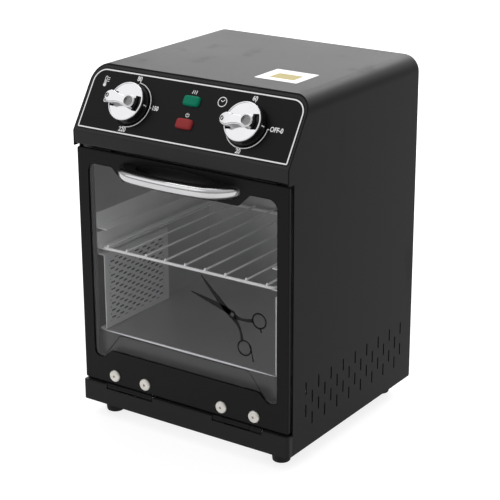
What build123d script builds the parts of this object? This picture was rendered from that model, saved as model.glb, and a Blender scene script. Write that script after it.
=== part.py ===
"""Dry heat sterilizer: a bench cabinet with a drop-down glass door, two dials and a wire rack.

Units are millimetres. +X is to the right of someone who faces the door, +Y goes to the back
and +Z goes up. The origin is on the bench, under the middle of the overall box.
"""

import os
from math import atan2, degrees, hypot, sqrt

from build123d import *

os.makedirs("parts", exist_ok=True)

# ------------------------------------------------------------------ driving dimensions
case_width = 240.0
case_depth = 226.0
case_height = 330.8
foot_height = 15.0
sheet = 1.2                   # painted steel
liner_sheet = 1.0             # stainless steel
top_bend = 16.0               # the long bends along the top
slope_rise = 57.8             # height of the sloped panel
slope_setback = 37.5          # how far the sloped panel leans back
seam = 0.4                    # gap between folded sheets that meet
fit = 0.3                     # gap round a piece that drops into another
lap = 12.0                    # a plain lap flange
fold = 1.6                    # outer radius of an ordinary fold

door_set = 2.5                # the door face lies this far behind the fascia face
door_low = 22.5               # case bottom to the door's lower edge
fascia_skirt = 12.5           # upright face of the fascia, under the sloped panel
door_side_gap = 1.5
door_return = 3.0             # depth of the door's folded rim
fascia_gap = 3.5              # door's upper edge to the fascia above it
reveal = 8.0                  # beside the door the side walls start this far back

strip_rise = 20.5             # height of the base strip
leaf_sheet = 1.5              # hinge leaves and brackets
hinge_set = 2.8               # hinge axis behind the fascia face
hinge_rise = 19.4             # hinge axis above the case bottom
hinge_inset = 57.0            # middle of each hinge from the side of the case
hinge_span = 54.0
knuckle_radius = 2.6
pin_radius = 1.25
running = 0.05                # radial clearance of a turning fit

handle_half = 67.0
handle_reach = 26.0
handle_end = 36.0             # end radius of the bow
handle_sunk = 12.0            # centre of the end radius, behind the door face
handle_tall = 11.4
handle_drop = 13.0            # door's upper edge to the middle of the handle
gland_reach = 12.0

side_space = 14.0             # chamber wall to the outside of the case
rear_space = 32.0
top_space = 7.0               # chamber ceiling to the top edge of the door
chamber_low = 73.0            # chamber floor above the case bottom
chamber_front = 10.0
rack_rise = 158.0             # middle of the rack's rail wire

# ------------------------------------------------------------------ places that follow
front = -(case_depth + gland_reach + door_set - handle_reach) / 2
back = front + case_depth
floor_z = foot_height
top_z = floor_z + case_height
half_width = case_width / 2
inner_half = half_width - sheet
hinge_offset = half_width - hinge_inset
shell_back = back - sheet
door_half = half_width - door_side_gap
door_y = front + door_set
door_back = door_y + sheet
door_bottom = floor_z + door_low
slope_z = top_z - slope_rise
fascia_low = slope_z - fascia_skirt
door_top = fascia_low - fascia_gap
chamber_half = half_width - side_space
chamber_back = case_depth - rear_space
liner_low = floor_z + chamber_low
liner_high = door_top - top_space
slope_length = hypot(slope_setback, slope_rise)
panel = Plane(
    origin=(0, front, slope_z),
    x_dir=(1, 0, 0),
    z_dir=(0, -slope_rise / slope_length, slope_setback / slope_length),
)


panel_axis = Axis(panel.origin, panel.z_dir)


def folded(points, bends, thickness=sheet):
    """Cut edge of a sheet folded along points, with its thickness to the left of the path."""
    with BuildLine() as path:
        FilletPolyline(*points, radius=bends)
        offset(amount=thickness, side=Side.LEFT)
    return make_face(path.edges(), mode=Mode.PRIVATE)


def case_section(inset):
    """Cross-section of the case, drawn the same distance inside its skin all round."""
    side, low, high = half_width - inset, floor_z + inset, top_z - inset
    with BuildLine() as path:
        FilletPolyline((-side, low), (-side, high), (side, high), (side, low), radius=top_bend - inset)
        Line((side, low), (-side, low))
    return make_face(path.edges(), mode=Mode.PRIVATE)


# ------------------------------------------------------------------ case shell
# One sheet folded over both sides and the top, with louvre slots low on the sides.
shell_flange = 38.0
louvre_columns = 17
louvre_first = 29.6
louvre_pitch = 10.88
louvre_long = 12.6
louvre_wide = 2.0
louvre_rows = ((37.1, 59.2), (26.5, 47.8))
notch_top = door_top + door_side_gap
foot_inset = 21.5
foot_x = half_width - foot_inset
foot_front = 22.0
foot_rear = case_depth - 21.0
foot_spots = [(x, front + y) for x in (-foot_x, foot_x) for y in (foot_front, foot_rear)]
foot_screw_radius = 2.0
back_screw_radius = 1.5
hole_slack = 0.15
screw_side = half_width - sheet - lap / 2
screw_margin = 40.0
screw_rises = (floor_z + screw_margin, floor_z + case_height / 2, top_z - screw_margin)
back_screw_spots = [(x, z) for x in (-screw_side, screw_side) for z in screw_rises]
back_screw_spots += [(x, top_z - sheet - lap / 2) for x in (-screw_side / 2, screw_side / 2)]

with BuildPart() as case_shell:
    with BuildSketch(Plane.XZ.offset(-shell_back)):
        add(case_section(0))
        add(case_section(sheet), mode=Mode.SUBTRACT)
    extrude(amount=shell_back - front)
    with BuildSketch(Plane.XZ.offset(-shell_back)):
        add(case_section(sheet))
        add(case_section(sheet + lap), mode=Mode.SUBTRACT)
    extrude(amount=sheet)
    with BuildSketch(Plane.XY.offset(floor_z)):
        with Locations((0, shell_back - lap)):
            Rectangle(2 * (half_width - shell_flange), case_depth, align=(Align.CENTER, Align.MAX))
    extrude(amount=sheet, mode=Mode.SUBTRACT)
    with BuildSketch(Plane.YZ):
        with BuildLine():
            Polyline(
                (front - lap, floor_z - lap),
                (front + reveal, floor_z - lap),
                (front + reveal, notch_top),
                (front, notch_top),
                (front, slope_z),
                (front + slope_setback, top_z),
                (front + slope_setback, top_z + lap),
                (front - lap, top_z + lap),
                close=True,
            )
        make_face()
    extrude(amount=case_width, both=True, mode=Mode.SUBTRACT)
    with BuildSketch(Plane.YZ):
        with Locations(
            [
                (front + louvre_first + column * louvre_pitch, floor_z + rise)
                for column in range(louvre_columns)
                for rise in louvre_rows[column % 2]
            ]
        ):
            SlotOverall(louvre_long, louvre_wide, rotation=90)
    extrude(amount=case_width, both=True, mode=Mode.SUBTRACT)
    with BuildSketch(Plane.XY.offset(floor_z)):
        with Locations(foot_spots):
            Circle(foot_screw_radius + hole_slack)
    extrude(amount=sheet, mode=Mode.SUBTRACT)
    with BuildSketch(Plane.XZ.offset(-shell_back)):
        with Locations(back_screw_spots):
            Circle(back_screw_radius + hole_slack)
    extrude(amount=sheet, mode=Mode.SUBTRACT)
case_shell.part.label = "case_shell"
export_step(case_shell.part, "parts/case_shell.step")

# ------------------------------------------------------------------ back panel and its screws
gland_inset = 42.0
gland_rise = 46.0
gland_x = half_width - gland_inset
gland_z = floor_z + gland_rise
gland_radius = 7.5
vent_slots = 9
vent_pitch = 14.0
vent_long = 26.0
vent_wide = 3.0
vent_drop = 36.8              # case top to the middle of the vent slots

with BuildPart() as back_panel:
    with BuildSketch(Plane.XZ.offset(-back)):
        add(case_section(seam))
        with Locations(back_screw_spots):
            Circle(back_screw_radius + hole_slack, mode=Mode.SUBTRACT)
        with Locations((gland_x, gland_z)):
            Circle(gland_radius + hole_slack, mode=Mode.SUBTRACT)
        with Locations((0, top_z - vent_drop)):
            with GridLocations(vent_pitch, vent_pitch, vent_slots, 1):
                SlotOverall(vent_long, vent_wide, rotation=90, mode=Mode.SUBTRACT)
    extrude(amount=sheet)
back_panel.part.label = "back_panel"
export_step(back_panel.part, "parts/back_panel.step")

screw_head_radius = 3.0
screw_head_tall = 2.0
screw_long = 6.0
with BuildPart() as back_screws:
    with BuildSketch(Plane.XZ.offset(-back)):
        with Locations(back_screw_spots):
            Circle(screw_head_radius)
    extrude(amount=-screw_head_tall)
    fillet(back_screws.faces().group_by(Axis.Y)[-1].edges(), radius=0.8)
    with BuildSketch(Plane.XZ.offset(-back)):
        with Locations(back_screw_spots):
            Circle(back_screw_radius)
    extrude(amount=screw_long)
back_screws.part.label = "back_screws"
export_step(back_screws.part, "parts/back_screws.step")

# ------------------------------------------------------------------ cord gland
gland_nut = 21.0
gland_nut_tall = 5.0
gland_bore = 3.6
gland_inside = 9.0
with BuildPart() as cord_gland:
    with BuildSketch(Plane.XZ.offset(-back)):
        with Locations((gland_x, gland_z)):
            RegularPolygon(gland_nut / 2, 6, major_radius=False)
    extrude(amount=-gland_nut_tall)
    with BuildSketch(Plane.XZ.offset(-back)):
        with Locations((gland_x, gland_z)):
            Circle(gland_radius)
    extrude(amount=-gland_reach)
    fillet(cord_gland.faces().sort_by(Axis.Y)[-1].edges(), radius=2.5)
    with BuildSketch(Plane.XZ.offset(-back)):
        with Locations((gland_x, gland_z)):
            Circle(gland_radius)
    extrude(amount=gland_inside)
    with BuildSketch(Plane.XZ.offset(-(back - sheet))):
        with Locations((gland_x, gland_z)):
            RegularPolygon(gland_nut / 2, 6, major_radius=False)
    extrude(amount=gland_nut_tall)
    with BuildSketch(Plane.XZ.offset(-(back + gland_reach))):
        with Locations((gland_x, gland_z)):
            Circle(gland_bore)
    extrude(amount=gland_reach + gland_inside, mode=Mode.SUBTRACT)
cord_gland.part.label = "cord_gland"
export_step(cord_gland.part, "parts/cord_gland.step")

# ------------------------------------------------------------------ base pan, feet and their screws
pan_lip = 9.0
with BuildPart() as base_pan:
    with BuildSketch(Plane.YZ):
        low = floor_z + sheet
        near, far = front + sheet + leaf_sheet + seam, shell_back - sheet - seam
        add(folded([(near, low + pan_lip), (near, low), (far, low), (far, low + pan_lip)], fold))
    extrude(amount=inner_half - seam, both=True)
    with BuildSketch(Plane.XY.offset(floor_z + sheet)):
        with Locations(foot_spots):
            Circle(foot_screw_radius + hole_slack)
        with Locations((0, front + case_depth / 2)):
            with GridLocations(vent_pitch, 2 * vent_long, vent_slots, 2):
                SlotOverall(vent_long, vent_wide, rotation=90)
    extrude(amount=sheet, mode=Mode.SUBTRACT)
base_pan.part.label = "base_pan"
export_step(base_pan.part, "parts/base_pan.step")

foot_radius = 10.0
foot_taper = 1.6
foot_recess_radius = 5.0
foot_recess = 7.0
with BuildPart() as feet:
    with BuildSketch(Plane.XZ) as foot_half:
        with BuildLine():
            Polyline(
                (foot_screw_radius + hole_slack, floor_z),
                (foot_radius, floor_z),
                (foot_radius - foot_taper, 0),
                (foot_recess_radius, 0),
                (foot_recess_radius, foot_recess),
                (foot_screw_radius + hole_slack, foot_recess),
                close=True,
            )
        make_face()
        fillet(foot_half.vertices().sort_by(Axis.X)[-2:], radius=1.2)
    foot = revolve(axis=Axis.Z, mode=Mode.PRIVATE)
    with Locations(foot_spots):
        add(foot)
feet.part.label = "feet"
export_step(feet.part, "parts/feet.step")

foot_head_radius = 3.6
foot_head_tall = 2.6
foot_nut = 7.0
foot_nut_tall = 3.2
pan_top = floor_z + 2 * sheet
with BuildPart() as foot_screws:
    with BuildSketch(Plane.XY.offset(foot_recess - foot_head_tall)):
        with Locations(foot_spots):
            Circle(foot_head_radius)
    extrude(amount=foot_head_tall)
    with BuildSketch(Plane.XY.offset(foot_recess)):
        with Locations(foot_spots):
            Circle(foot_screw_radius)
    extrude(amount=pan_top + foot_nut_tall - foot_recess)
    with BuildSketch(Plane.XY.offset(pan_top)):
        with Locations(foot_spots):
            RegularPolygon(foot_nut / 2, 6, major_radius=False)
    extrude(amount=foot_nut_tall)
foot_screws.part.label = "foot_screws"
export_step(foot_screws.part, "parts/foot_screws.step")

# ------------------------------------------------------------------ base strip
# It wraps round both front corners, and its top edge has a recess for each hinge.
strip_corner = 3.0
strip_top = floor_z + strip_rise
hinge_y = front + hinge_set
hinge_z = floor_z + hinge_rise
recess_low = hinge_z - knuckle_radius - seam
strip_back = front + reveal - seam
with BuildPart() as base_strip:
    with BuildSketch(Plane.XY.offset(floor_z)):
        add(
            folded(
                [
                    (-half_width, strip_back),
                    (-half_width, front),
                    (half_width, front),
                    (half_width, strip_back),
                ],
                strip_corner,
            )
        )
    extrude(amount=strip_rise)
    with BuildSketch(Plane.XY.offset(floor_z), Plane.XY.offset(strip_top - sheet)):
        with Locations((0, strip_back)):
            Rectangle(2 * inner_half, strip_back - front - sheet, align=(Align.CENTER, Align.MAX))
    extrude(amount=sheet)
    fillet(base_strip.edges().group_by(Axis.Z)[-1].filter_by(Axis.X).sort_by(Axis.Y)[0], radius=sheet)
    with BuildSketch(Plane.XY.offset(recess_low)):
        with Locations((-hinge_offset, strip_back), (hinge_offset, strip_back)):
            Rectangle(hinge_span + 2, reveal, align=(Align.CENTER, Align.MAX))
    extrude(amount=strip_rise, mode=Mode.SUBTRACT)
base_strip.part.label = "base_strip"
export_step(base_strip.part, "parts/base_strip.step")

# ------------------------------------------------------------------ hinges
# The fixed bracket has the two outer knuckles, and the door leaf has the middle one.
middle_knuckle = 28.0
knuckle_gap = 0.3
leaf_rise = 17.0
bracket_drop = 13.0
hinge_screw_radius = 2.0
hinge_screw_lift = 9.2        # door's lower edge to the hinge screws
hinge_screw_reach = 18.35
hinge_screw_z = door_bottom + hinge_screw_lift
outer_knuckle = (hinge_span - middle_knuckle) / 2 - knuckle_gap

for side, name in ((-1, "left"), (1, "right")):
    middle = side * hinge_offset
    with BuildPart() as bracket:
        for end in (-1, 1):
            knuckle_middle = middle + end * (hinge_span - outer_knuckle) / 2
            with BuildSketch(Plane.YZ.offset(knuckle_middle)):
                with Locations((hinge_y, hinge_z)):
                    Circle(knuckle_radius)
                with Locations((front + sheet, hinge_z)):
                    Rectangle(leaf_sheet, knuckle_radius + lap / 2, align=(Align.MIN, Align.MAX))
            extrude(amount=outer_knuckle / 2, both=True)
        with BuildSketch(Plane.YZ.offset(middle)):
            with Locations((front + sheet, recess_low - seam)):
                Rectangle(leaf_sheet, bracket_drop, align=(Align.MIN, Align.MAX))
        extrude(amount=hinge_span / 2, both=True)
        with BuildSketch(Plane.YZ.offset(middle)):
            with Locations((hinge_y, hinge_z)):
                Circle(pin_radius + running)
        extrude(amount=hinge_span, both=True, mode=Mode.SUBTRACT)
    bracket.part.label = f"{name}_hinge_bracket"
    export_step(bracket.part, f"parts/{name}_hinge_bracket.step")

    with BuildPart() as leaf:
        with BuildSketch(Plane.YZ.offset(middle)):
            with Locations((hinge_y, hinge_z)):
                Circle(knuckle_radius)
            with Locations((door_back, hinge_z)):
                Rectangle(leaf_sheet, leaf_rise, align=(Align.MIN, Align.MIN))
        extrude(amount=middle_knuckle / 2, both=True)
        with BuildSketch(Plane.YZ.offset(middle)):
            with Locations((door_back, hinge_z + leaf_rise)):
                Rectangle(leaf_sheet, hinge_z + leaf_rise - door_bottom - sheet - seam, align=(Align.MIN, Align.MAX))
        extrude(amount=hinge_span / 2, both=True)
        with BuildSketch(Plane.YZ.offset(middle)):
            with Locations((hinge_y, hinge_z)):
                Circle(pin_radius + running)
        extrude(amount=hinge_span, both=True, mode=Mode.SUBTRACT)
        with BuildSketch(Plane.XZ.offset(-door_back)):
            with Locations((middle - hinge_screw_reach, hinge_screw_z), (middle + hinge_screw_reach, hinge_screw_z)):
                Circle(hinge_screw_radius + hole_slack)
        extrude(amount=-leaf_sheet, mode=Mode.SUBTRACT)
    leaf.part.label = f"{name}_hinge_leaf"
    export_step(leaf.part, f"parts/{name}_hinge_leaf.step")

    with BuildPart() as pin:
        with BuildSketch(Plane.YZ.offset(middle)):
            with Locations((hinge_y, hinge_z)):
                Circle(pin_radius)
        extrude(amount=hinge_span / 2 + 0.4, both=True)
    pin.part.label = f"{name}_hinge_pin"
    export_step(pin.part, f"parts/{name}_hinge_pin.step")

# ------------------------------------------------------------------ door frame
# A shallow pan with a shaped window: a tab carries the handle, and both lower corners dip.
stile = 12.5                  # door frame beside the window
rail = 14.0                   # door frame over the window
sill_rise = 57.0
dip_drop = 8.7
tab_drop = 12.0
tab_slant = 12.5
window_half = door_half - stile
window_top = door_top - rail
window_sill = floor_z + sill_rise
window_dip = window_sill - dip_drop
tab_low = window_top - tab_drop
tab_half = handle_half - 2.0
dip_flat = 10.5
dip_wide = 20.0
hinge_screw_spots = [
    (side * hinge_offset + end * hinge_screw_reach, hinge_screw_z) for side in (-1, 1) for end in (-1, 1)
]
handle_z = door_top - handle_drop
handle_screw_x = handle_half - 15.5
handle_screw_radius = 2.0
handle_screw_spots = [(-handle_screw_x, handle_z), (handle_screw_x, handle_z)]

with BuildPart() as door_frame:
    with BuildSketch(Plane.XZ.offset(-door_y)):
        with Locations((0, (door_bottom + door_top) / 2)):
            Rectangle(2 * door_half, door_top - door_bottom)
    extrude(amount=-door_return)
    fillet(door_frame.edges().filter_by(Axis.Y), radius=2.0)
    fillet(door_frame.faces().sort_by(Axis.Y)[0].edges(), radius=sheet)
    with BuildSketch(Plane.XZ.offset(-door_back)):
        with Locations((0, (door_bottom + door_top) / 2)):
            Rectangle(2 * (door_half - sheet), door_top - door_bottom - 2 * sheet)
    extrude(amount=-door_return, mode=Mode.SUBTRACT)
    with BuildSketch(Plane.XZ.offset(-door_y)):
        with BuildLine():
            FilletPolyline(
                (0, tab_low),
                (tab_half, tab_low),
                (tab_half + tab_slant, window_top),
                (window_half, window_top),
                (window_half, window_dip),
                (window_half - dip_flat, window_dip),
                (window_half - dip_wide, window_sill),
                (0, window_sill),
                radius=[5.0, 4.0, 9.0, 6.5, 4.0, 5.0],
            )
            mirror(about=Plane.YZ)
        make_face()
        with Locations(hinge_screw_spots):
            Circle(hinge_screw_radius + hole_slack)
        with Locations(handle_screw_spots):
            Circle(handle_screw_radius + hole_slack)
    extrude(amount=-door_return, mode=Mode.SUBTRACT)
    with BuildSketch(Plane.XZ.offset(-door_back)):
        with Locations((-hinge_offset, door_bottom), (hinge_offset, door_bottom)):
            Rectangle(middle_knuckle + 2 * seam, 2 * sheet + seam)
    extrude(amount=-door_return, mode=Mode.SUBTRACT)
door_frame.part.label = "door_frame"
export_step(door_frame.part, "parts/door_frame.step")

# ------------------------------------------------------------------ door glass and its clips
glass_thick = 3.0
glass_lap = 6.0
glass_half = window_half + glass_lap
glass_low = window_dip - glass_lap
glass_high = door_top - sheet - 2.6
glass_front = door_back + 0.2
glass_back = glass_front + glass_thick
with BuildPart() as door_glass:
    with BuildSketch(Plane.XZ.offset(-glass_front)):
        with Locations((0, (glass_low + glass_high) / 2)):
            RectangleRounded(2 * glass_half, glass_high - glass_low, 3.0)
        with Locations(handle_screw_spots):
            Circle(handle_screw_radius + 1.0, mode=Mode.SUBTRACT)
    extrude(amount=-glass_thick)
door_glass.part.label = "door_glass"
export_step(door_glass.part, "parts/door_glass.step")

clip_sheet = 0.8
clip_lap = 1.9
clip_long = 12.0
clip_step = 78.0
clip_rises = [(glass_low + glass_high) / 2 + step * clip_step for step in (-1, 0, 1)]
clip_outer = door_half - sheet - fit
with BuildPart() as glass_clips:
    for side in (-1, 1):
        for rise in clip_rises:
            with BuildSketch(Plane.XY.offset(rise - clip_long / 2)):
                with Locations((side * (clip_outer + glass_half + fit) / 2, door_back)):
                    Rectangle(clip_outer - glass_half - fit, glass_back - door_back, align=(Align.CENTER, Align.MIN))
                with Locations((side * (clip_outer + glass_half - clip_lap) / 2, glass_back)):
                    Rectangle(clip_outer - glass_half + clip_lap, clip_sheet, align=(Align.CENTER, Align.MIN))
            extrude(amount=clip_long)
glass_clips.part.label = "glass_clips"
export_step(glass_clips.part, "parts/glass_clips.step")

# ------------------------------------------------------------------ handle
# A bow of three tangent arcs. The black body carries a bright crowned bar round its front face.
bar_deep = 5.2                # thickness of the crowned bar
bar_crown = 3.8               # rounding of its outer edges
grip_tall = handle_tall - 1.2
grip_half = handle_half - 21.0
grip_end = 12.0
grip_reach = handle_reach - bar_deep - 4.0
plate_thick = 2.0
plate_gap = 1.6               # the plate ends this far inside the bar
plate_low = handle_z - 7.5
plate_high = handle_z + 10.0


def bow(half, reach, end, sunk, inset=0.0):
    """Flat D shape at the door face: a long arc in the middle, tangent to an end arc each side."""
    end_x = half - sqrt(end**2 - sunk**2)
    middle = (end_x**2 + (reach + sunk) ** 2 - end**2) / (2 * (reach + sunk - end))
    share = (middle - inset) / (middle - end)
    meet_x = end_x * share
    meet_y = (middle - reach) + (sunk - middle + reach) * share
    foot_x = end_x + sqrt((end - inset) ** 2 - sunk**2)
    with BuildLine() as outline:
        end_arc = RadiusArc((foot_x, 0), (meet_x, meet_y), end - inset)
        ThreePointArc((meet_x, meet_y), (0, inset - reach), (-meet_x, meet_y))
        mirror(end_arc, about=Plane.YZ)
        Line((-foot_x, 0), (foot_x, 0))
    return make_face(outline.edges(), mode=Mode.PRIVATE)


with BuildPart() as handle_body:
    with BuildSketch(Plane.XY.offset(handle_z - grip_tall / 2)):
        with Locations((0, door_y)):
            add(bow(handle_half, handle_reach, handle_end, handle_sunk, bar_deep))
            add(bow(grip_half, grip_reach, grip_end, 0.0), mode=Mode.SUBTRACT)
    extrude(amount=grip_tall)
    with BuildSketch(Plane.XZ.offset(-door_y)):
        with BuildLine():
            plate_end = handle_half - bar_deep - plate_gap
            Polyline((-plate_end, handle_z), (-plate_end, plate_low), (plate_end, plate_low), (plate_end, handle_z))
            ThreePointArc((plate_end, handle_z), (0, plate_high), (-plate_end, handle_z))
        make_face()
    extrude(amount=plate_thick)
    with BuildSketch(Plane.XZ.offset(-door_y)):
        with Locations(handle_screw_spots):
            Circle(handle_screw_radius)
    extrude(amount=lap, mode=Mode.SUBTRACT)
handle_body.part.label = "handle_body"
export_step(handle_body.part, "parts/handle_body.step")

with BuildPart() as handle_cover:
    with BuildSketch(Plane.XY.offset(handle_z - handle_tall / 2)):
        with Locations((0, door_y)):
            add(bow(handle_half, handle_reach, handle_end, handle_sunk))
    extrude(amount=handle_tall)
    fillet(handle_cover.edges().filter_by(GeomType.CIRCLE), radius=bar_crown)
    with BuildSketch(Plane.XY.offset(handle_z - handle_tall / 2)):
        with Locations((0, door_y)):
            add(bow(handle_half, handle_reach, handle_end, handle_sunk, bar_deep))
    extrude(amount=handle_tall, mode=Mode.SUBTRACT)
handle_cover.part.label = "handle_cover"
export_step(handle_cover.part, "parts/handle_cover.step")

handle_head_radius = 3.6
handle_head_tall = 2.2
handle_screw_long = 10.0
with BuildPart() as handle_screws:
    with BuildSketch(Plane.XZ.offset(-glass_back - fit)):
        with Locations(handle_screw_spots):
            Circle(handle_head_radius)
    extrude(amount=-handle_head_tall)
    with BuildSketch(Plane.XZ.offset(-glass_back - fit)):
        with Locations(handle_screw_spots):
            Circle(handle_screw_radius)
    extrude(amount=handle_screw_long + glass_back - door_y)
handle_screws.part.label = "handle_screws"
export_step(handle_screws.part, "parts/handle_screws.step")

# ------------------------------------------------------------------ hinge screws
hinge_head_radius = 6.0
hinge_head_tall = 2.4
hinge_socket = 2.5
with BuildPart() as hinge_screws:
    with BuildSketch(Plane.XZ.offset(-door_y)):
        with Locations(hinge_screw_spots):
            Circle(hinge_head_radius)
    extrude(amount=hinge_head_tall)
    fillet(hinge_screws.faces().group_by(Axis.Y)[0].edges(), radius=1.9)
    with BuildSketch(Plane.XZ.offset(-(door_y - hinge_head_tall))):
        with Locations(hinge_screw_spots):
            RegularPolygon(hinge_socket / 2, 6, major_radius=False)
    extrude(amount=-1.4, mode=Mode.SUBTRACT)
    with BuildSketch(Plane.XZ.offset(-door_y)):
        with Locations(hinge_screw_spots):
            Circle(hinge_screw_radius)
    extrude(amount=-(sheet + leaf_sheet + 1.0))
hinge_screws.part.label = "hinge_screws"
export_step(hinge_screws.part, "parts/hinge_screws.step")

# ------------------------------------------------------------------ control fascia and overlay
# One sheet: a flange over the door, the upright strip, the slope and a flange under the top.
control_inset = 55.5
control_x = half_width - control_inset
control_v = 33.2
control_hole = 5.2
lamp_rises = (23.9, 45.8)
lamp_hole = (16.8, 7.8)
lamp_hole_spots = [(0, rise) for rise in lamp_rises]
overlay_thick = 0.4
overlay_half = half_width - 3.0
overlay_low = 3.4
overlay_high = slope_length - 4.3
under_top = top_z - sheet
lean = slope_setback / slope_rise
slope_end = front + slope_setback - sheet * lean

with BuildPart() as control_fascia:
    with BuildSketch(Plane.YZ):
        add(
            folded(
                [
                    (slope_end + lap, under_top),
                    (slope_end, under_top),
                    (front, slope_z),
                    (front, fascia_low),
                    (front + lap, fascia_low),
                ],
                [fold, 4.0, fold],
            )
        )
    extrude(amount=inner_half, both=True)
    with BuildSketch(Plane.XZ.offset(-front - case_depth)):
        add(case_section(sheet + seam / 2))
        with Locations((0, under_top - top_bend)):
            Rectangle(2 * (inner_half - top_bend), top_bend, align=(Align.CENTER, Align.MIN))
    extrude(amount=2 * case_depth, mode=Mode.INTERSECT)
    with BuildSketch(panel.offset(-fold - sheet)):
        with Locations((-control_x, control_v), (control_x, control_v)):
            Circle(control_hole)
        with Locations(lamp_hole_spots):
            Rectangle(*lamp_hole)
    extrude(amount=2 * fold + 2 * sheet, mode=Mode.SUBTRACT)
control_fascia.part.label = "control_fascia"
export_step(control_fascia.part, "parts/control_fascia.step")

with BuildPart() as panel_overlay:
    with BuildSketch(panel) as overlay_shape:
        with Locations((0, (overlay_low + overlay_high) / 2)):
            Rectangle(2 * overlay_half, overlay_high - overlay_low)
        fillet(overlay_shape.vertices().group_by(Axis.Y)[-1], radius=top_bend - 2)
        fillet(overlay_shape.vertices().group_by(Axis.Y)[0], radius=2.0)
        with Locations((-control_x, control_v), (control_x, control_v)):
            Circle(control_hole, mode=Mode.SUBTRACT)
        with Locations(lamp_hole_spots):
            Rectangle(*lamp_hole, mode=Mode.SUBTRACT)
    extrude(amount=overlay_thick)
panel_overlay.part.label = "panel_overlay"
export_step(panel_overlay.part, "parts/panel_overlay.step")

# ------------------------------------------------------------------ lamps
lens_size = (20.5, 11.5)
lens_tall = 3.0
lens_neck = 3.0
lamp_deep = 14.0
for rise, name in zip(lamp_rises, ("power_lamp_lens", "run_lamp_lens")):
    with BuildPart() as lens:
        with BuildSketch(panel.offset(overlay_thick)):
            with Locations((0, rise)):
                RectangleRounded(*lens_size, 2.2)
        extrude(amount=lens_tall)
        fillet(lens.faces().sort_by(panel_axis)[-1].edges(), radius=1.2)
        with BuildSketch(panel.offset(overlay_thick)):
            with Locations((0, rise)):
                Rectangle(lamp_hole[0] - fit, lamp_hole[1] - fit)
        extrude(amount=-(overlay_thick + sheet + lens_neck))
    lens.part.label = name
    export_step(lens.part, f"parts/{name}.step")

with BuildPart() as lamp_bodies:
    with BuildSketch(panel.offset(-sheet)):
        with Locations(lamp_hole_spots):
            Rectangle(lens_size[0], lens_size[1] - 1)
    extrude(amount=-lamp_deep)
    with BuildSketch(panel.offset(-sheet)):
        with Locations(lamp_hole_spots):
            Rectangle(lamp_hole[0], lamp_hole[1])
    extrude(amount=-(lens_neck + fit), mode=Mode.SUBTRACT)
    with BuildSketch(panel.offset(-sheet - lamp_deep)):
        for rise in lamp_rises:
            with Locations((0, rise)):
                with GridLocations(8.0, 1.0, 2, 1):
                    Rectangle(0.8, 4.0)
    extrude(amount=-5.0)
lamp_bodies.part.label = "lamp_bodies"
export_step(lamp_bodies.part, "parts/lamp_bodies.step")

# ------------------------------------------------------------------ thermostat, timer and spindles
spindle_radius = 3.0
spindle_deep = 14.0
spindle_top = 8.0
bush_radius = 4.8
bush_tall = 2.6
bush_nut = 13.0
thermostat_deep = 20.0
timer_deep = 24.0
timer_radius = 20.0

for side, name in ((-1, "thermostat"), (1, "timer")):
    spot = (side * control_x, control_v)
    with BuildPart() as control:
        with BuildSketch(panel.offset(-sheet)):
            with Locations(spot):
                if name == "timer":
                    Circle(timer_radius)
                else:
                    RectangleRounded(38.0, 34.0, 3.0)
        extrude(amount=-(timer_deep if name == "timer" else thermostat_deep))
        with BuildSketch(panel.offset(-sheet)):
            with Locations(spot):
                Circle(bush_radius)
        extrude(amount=sheet + overlay_thick + bush_tall)
        with BuildSketch(panel.offset(overlay_thick)):
            with Locations(spot):
                RegularPolygon(bush_nut / 2, 6, major_radius=False)
        extrude(amount=bush_tall - 0.6)
        with BuildSketch(panel.offset(overlay_thick + bush_tall)):
            with Locations(spot):
                Circle(spindle_radius + running)
        extrude(amount=-(overlay_thick + bush_tall + spindle_deep + 1), mode=Mode.SUBTRACT)
    control.part.label = name
    export_step(control.part, f"parts/{name}.step")

    with BuildPart() as spindle:
        with BuildSketch(panel.offset(-spindle_deep)):
            with Locations(spot):
                Circle(spindle_radius)
        extrude(amount=spindle_deep + spindle_top)
    spindle.part.label = f"{name}_spindle"
    export_step(spindle.part, f"parts/{name}_spindle.step")

# ------------------------------------------------------------------ knobs
# A dark cup with a bright cap. The cap is a dished disc with a waisted grip bar across it.
# At both ends of the bar the disc is open, so the bar's tail stands free and the dark cup shows.
knob_radius = 19.6
knob_draft = 0.5              # the cup narrows this much to its top
knob_lift = 1.2
knob_tall = 8.8
knob_wall = 2.0
knob_web = 6.0
boss_radius = 5.4
cap_radius = 18.5
cap_tall = 1.4
cap_lip = 1.2                 # bright rim round the dished face
cap_dish = 0.5
grip_rise = 19.0              # top of the bar at its tip
middle_rise = 15.2
nose_rise = 13.4              # and at its blunt end
overrun = 3.0                 # cutting profiles reach this far past the bar
grip_tip = 19.0               # from the axis to the tip of the bar
grip_nose = 12.1              # from the axis to its blunt end
grip_wide = 6.0               # radius of the lobe at each end
grip_waist = 4.1
grip_round = 1.3
grip_under = 12.2             # the tip overhangs the disc from this height
window_half = 7.2
window_near = 11.0
inlay_radius = 4.7            # round recess on the blunt end
inlay_high = 12.2
mark_long = 3.4               # slot cut into the tip
mark_wide = 0.9
mark_deep = 0.8
grip_middle = (grip_nose - grip_tip) / 2
lobe_x = grip_nose - grip_wide - grip_middle
waist_radius = (lobe_x**2 + grip_waist**2 - grip_wide**2) / (2 * (grip_wide - grip_waist))
meet_x = lobe_x * waist_radius / (waist_radius + grip_wide)
meet_y = (waist_radius + grip_waist) * grip_wide / (waist_radius + grip_wide)
rest_turns = {"temperature": -3.0, "timer": 7.0}


def end_window(side, near, far):
    """Opening in the disc beyond one end of the grip bar, inside the bright rim."""
    with BuildSketch(mode=Mode.PRIVATE) as opening:
        Circle(far)
        with Locations((side * (near + far / 2), 0)):
            Rectangle(far, 2 * window_half, mode=Mode.INTERSECT)
    return opening.sketch


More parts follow.
